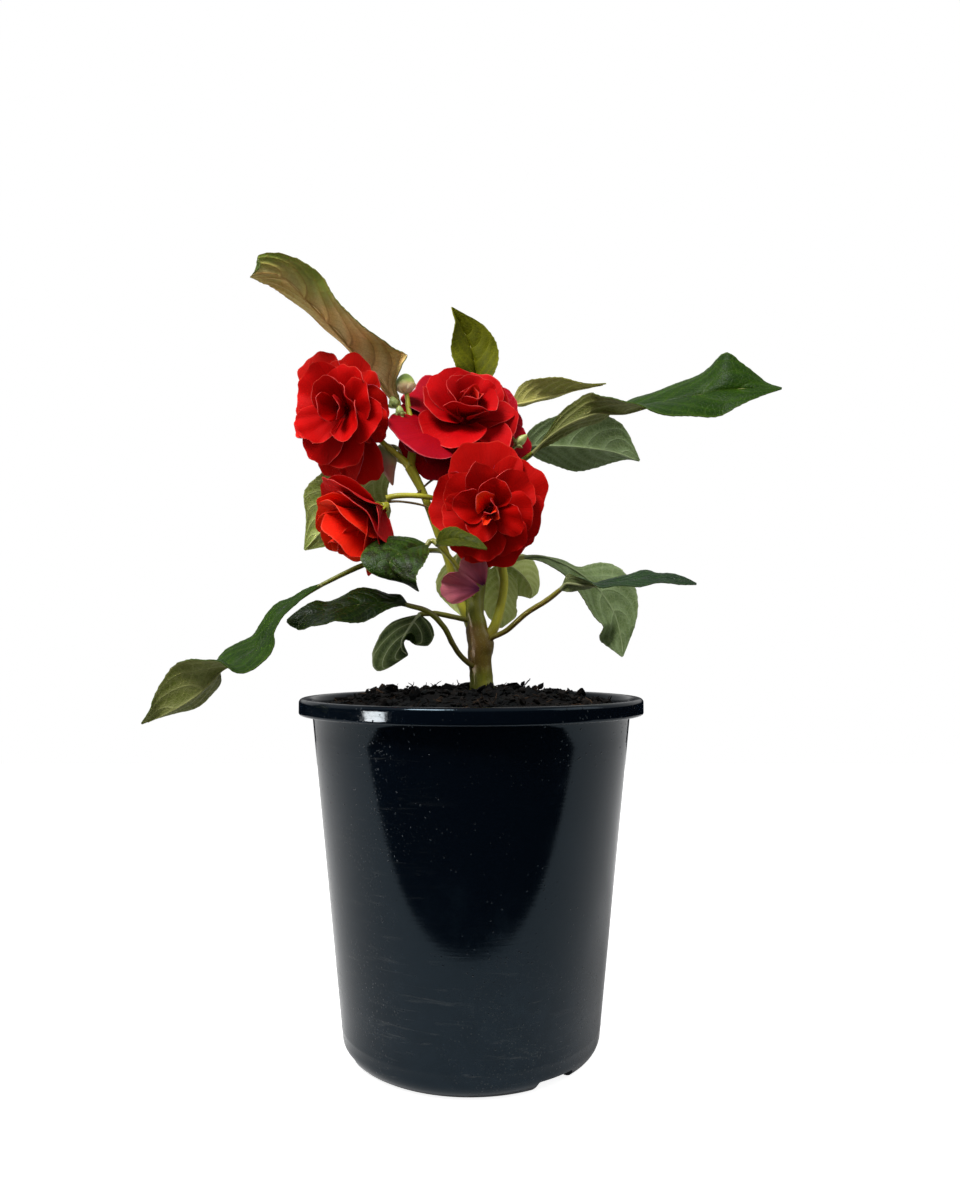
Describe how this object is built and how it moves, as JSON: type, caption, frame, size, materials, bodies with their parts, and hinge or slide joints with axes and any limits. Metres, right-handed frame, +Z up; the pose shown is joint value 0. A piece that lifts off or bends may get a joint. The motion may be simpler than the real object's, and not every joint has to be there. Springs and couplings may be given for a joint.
{
  "type": "potted busy lizzie",
  "caption": "Busy lizzie with double red flowers and bronze-green leaves, growing in potting mix in a round black plastic nursery pot.",
  "frame": {"origin": "centre of the flat underside of the pot, on the surface that the pot stands on", "axes": "+Z up along the pot's axis, -Y towards the viewed front, +X to the viewer's right"},
  "size_m": [0.2544, 0.145, 0.3254],
  "materials": {
    "pot_plastic": "smooth moulded black plastic, glossy, slightly dusty",
    "potting_mix": "moist dark bark mix",
    "old_stem": "fleshy green stem, semi-gloss",
    "young_stem": "yellow-green translucent stem, semi-gloss",
    "outer_petal": "velvety red petal",
    "inner_petal": "velvety bright red petal",
    "bud_green": "pale green bud with cream and pink blush",
    "faded_petal": "withered purple petal, matt",
    "bronze_leaf": "bronze leaf underside, satin",
    "olive_leaf": "olive-green leaf, satin",
    "green_leaf": "green leaf, semi-gloss",
    "dark_leaf": "very dark green leaf, glossy",
    "pale_leaf": "pale green leaf underside, matt"
  },
  "bodies": {
    "root": {"pot": "pot_plastic", "soil": "potting_mix", "main_stem": "old_stem", "right_branch": "young_stem", "left_branch": "young_stem", "flower_1_pedicel": "young_stem", "flower_2_pedicel": "young_stem", "flower_4_pedicel": "young_stem", "bud_shoot": "young_stem", "front_shoot": "young_stem", "flower_1_calyx": "young_stem", "flower_2_calyx": "young_stem", "flower_3_calyx": "young_stem", "flower_4_calyx": "young_stem", "flower_2_spur": "young_stem", "flower_4_spur": "young_stem", "flower_1_outer_petals": "outer_petal", "flower_1_middle_petals": "inner_petal", "flower_1_inner_petals": "inner_petal", "flower_1_heart_petals": "inner_petal", "flower_2_outer_petals": "outer_petal", "flower_2_middle_petals": "inner_petal", "flower_2_inner_petals": "inner_petal", "flower_2_heart_petals": "inner_petal", "flower_3_outer_petals": "outer_petal", "flower_3_middle_petals": "inner_petal", "flower_3_inner_petals": "inner_petal", "flower_3_heart_petals": "inner_petal", "flower_4_outer_petals": "outer_petal", "flower_4_middle_petals": "inner_petal", "flower_4_inner_petals": "inner_petal", "flower_4_heart_petals": "inner_petal", "bud_round": "bud_green", "bud_small_left": "bud_green", "bud_small_low": "bud_green", "bud_curled": "bud_green", "seed_pod": "bud_green", "faded_petal_upper": "faded_petal", "faded_petal_lower": "faded_petal", "faded_petal_small": "faded_petal", "leaf_upper_left": "bronze_leaf", "leaf_top": "olive_leaf", "leaf_right_small": "olive_leaf", "leaf_right_long": "green_leaf", "leaf_right_back": "pale_leaf", "leaf_left_back": "pale_leaf", "leaf_front_left": "dark_leaf", "leaf_front_right": "green_leaf", "leaf_far_left": "green_leaf", "leaf_left_low": "dark_leaf", "leaf_low_curled": "dark_leaf", "leaf_right_edge": "green_leaf", "leaf_right_hanging": "pale_leaf", "leaf_back_right": "pale_leaf", "leaf_back_middle": "pale_leaf", "leaf_back_left": "pale_leaf"}
  },
  "joints": []
}
